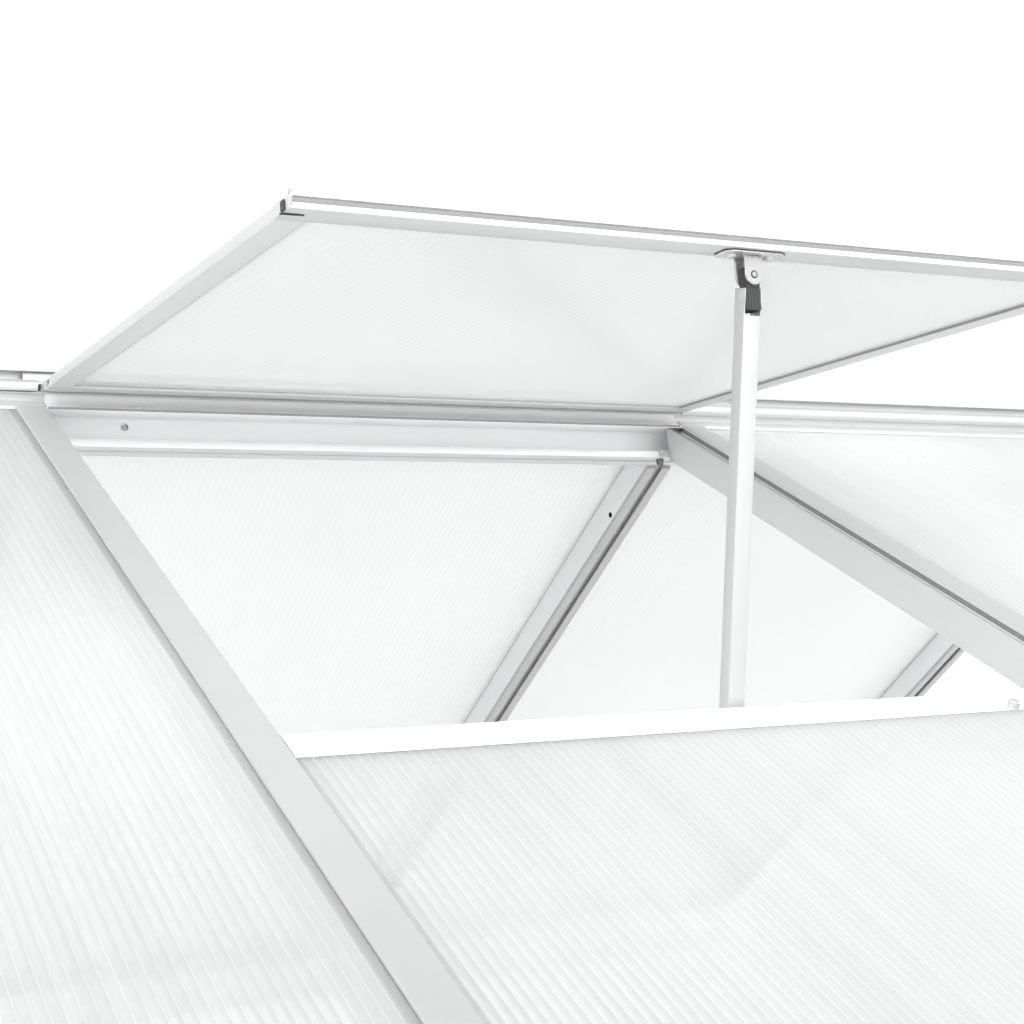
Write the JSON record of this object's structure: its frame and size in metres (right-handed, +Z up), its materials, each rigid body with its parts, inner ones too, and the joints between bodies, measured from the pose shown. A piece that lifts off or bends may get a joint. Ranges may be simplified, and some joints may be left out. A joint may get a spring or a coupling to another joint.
{
  "type": "greenhouse roof section with opening roof vent",
  "caption": "Ridged aluminium greenhouse roof section glazed with twin-wall sheet, with a roof vent hinged at the ridge and propped open by a folding stay.",
  "frame": {"origin": "on the ground under the ridge, midway along it and midway between the eaves bars", "axes": "+X along the ridge, -Y towards the slope with the vent, +Z up"},
  "size_m": [1.888, 1.914, 0.6355],
  "materials": {
    "frame": "satin mill-finish extruded aluminium",
    "sheet": "glossy translucent twin-wall sheet with fine ribs",
    "strip": "clear soft sealing strip",
    "steel": "bright zinc-plated steel",
    "black": "black moulded plastic"
  },
  "bodies": {
    "roof": {"ridge_bar": "frame", "rafter_front_1": "frame", "rafter_front_2": "frame", "rafter_front_3": "frame", "rafter_front_4": "frame", "rafter_back_1": "frame", "rafter_back_2": "frame", "rafter_back_3": "frame", "rafter_back_4": "frame", "eaves_bar_front": "frame", "eaves_bar_back": "frame", "roof_sheet_front_left": "sheet", "roof_sheet_front_middle": "sheet", "roof_sheet_front_right": "sheet", "roof_sheet_back_left": "sheet", "roof_sheet_back_middle": "sheet", "roof_sheet_back_right": "sheet", "vent_sill": "frame", "stay_peg": "steel", "vent_stop_left": "black", "vent_stop_right": "black"},
    "vent": {"vent_top_rail": "frame", "vent_free_rail": "frame", "vent_lip_strip": "strip", "vent_side_rail_left": "frame", "vent_side_rail_right": "frame", "vent_sheet": "sheet", "stay_bracket": "steel", "stay_bracket_rivet": "steel"},
    "knuckle": {"stay_knuckle": "black"},
    "stay": {"stay_tube": "frame", "stay_tube_rivet": "steel"}
  },
  "joints": [
    {"name": "vent_hinge", "type": "hinge", "parent": "roof", "child": "vent", "pos_m": [0, -0.035, 0.611], "axis": [-1, 0, 0], "range_deg": [-27, 0]},
    {"name": "knuckle_swing", "type": "hinge", "parent": "vent", "child": "knuckle", "pos_m": [-0.0057, -0.58132, 0.56464], "axis": [0, 0.9986, 0.0523], "range_deg": [0, 60]},
    {"name": "stay_tilt", "type": "hinge", "parent": "knuckle", "child": "stay", "pos_m": [-0.00706, -0.58067, 0.55211], "axis": [0.9995, -0.0016, 0.031], "range_deg": [0, 75]}
  ]
}
